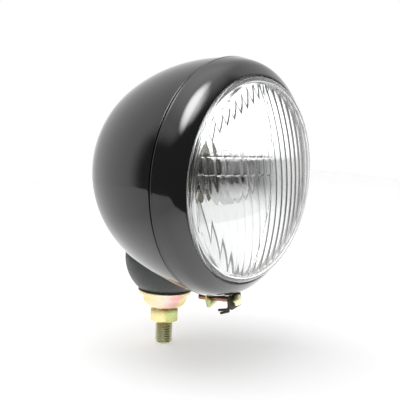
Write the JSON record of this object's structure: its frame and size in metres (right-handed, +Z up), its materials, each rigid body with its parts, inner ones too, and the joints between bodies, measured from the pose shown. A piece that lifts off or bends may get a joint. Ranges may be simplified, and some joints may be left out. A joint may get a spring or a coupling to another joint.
{
  "type": "work lamp",
  "caption": "Round tractor work lamp: black steel bowl and rim, fluted glass lens, and a ball foot that swivels and tilts on a threaded stud.",
  "frame": {"origin": "centre of the nut's lower face, on the axis of the mounting stud, where the lamp sits on its bracket", "axes": "+Z up along the stud's axis, the lamp faces -Y, +X to the right as seen from in front of -Y looking along +Y"},
  "size_m": [0.16, 0.133, 0.2035],
  "materials": {
    "gloss_black_enamel": "gloss",
    "satin_black_enamel": "satin",
    "black_rubber": "matte",
    "lens_glass": "gloss",
    "bulb_glass": "gloss",
    "aluminised_mirror": "mirror",
    "plated_steel": "plated",
    "spring_steel": "satin",
    "dark_steel": "oiled",
    "yellow_zinc": "yellow passivated zinc",
    "olive_zinc": "olive passivated zinc",
    "copper_zinc": "passivated",
    "cap_brass": "plain",
    "tungsten": "drawn",
    "black_phenolic": "moulded"
  },
  "bodies": {
    "stud": {"clamp_bolt": "olive_zinc", "hex_nut": "yellow_zinc", "spring_washer": "spring_steel"},
    "cup": {"cup_washer": "yellow_zinc", "cup_seal": "black_rubber", "saddle_washer": "dark_steel"},
    "lamp": {"bowl": "gloss_black_enamel", "foot": "satin_black_enamel", "cable_grommet": "black_rubber", "rim": "gloss_black_enamel", "top_hook": "spring_steel", "rim_lug": "dark_steel", "clamp_bracket": "yellow_zinc", "clamp_screw": "copper_zinc", "split_pin": "dark_steel", "lens": "lens_glass", "lens_gasket": "black_rubber", "reflector": "aluminised_mirror", "bulb_collar": "plated_steel", "lens_clips": "spring_steel", "bulb_glass": "bulb_glass", "bulb_flange": "plated_steel", "bulb_stem": "bulb_glass", "bulb_filaments": "tungsten", "bulb_cap": "cap_brass", "bulb_contacts": "cap_brass", "bulb_spring": "spring_steel", "bulb_socket": "black_phenolic", "socket_terminals": "cap_brass"}
  },
  "joints": [
    {"name": "swivel", "type": "hinge", "parent": "stud", "child": "cup", "pos_m": [0, 0, 0.0455], "axis": [0, 0, 1], "continuous": true},
    {"name": "tilt", "type": "hinge", "parent": "cup", "child": "lamp", "pos_m": [0, 0, 0.0455], "axis": [1, 0, 0], "range_deg": [-12, 12]}
  ]
}
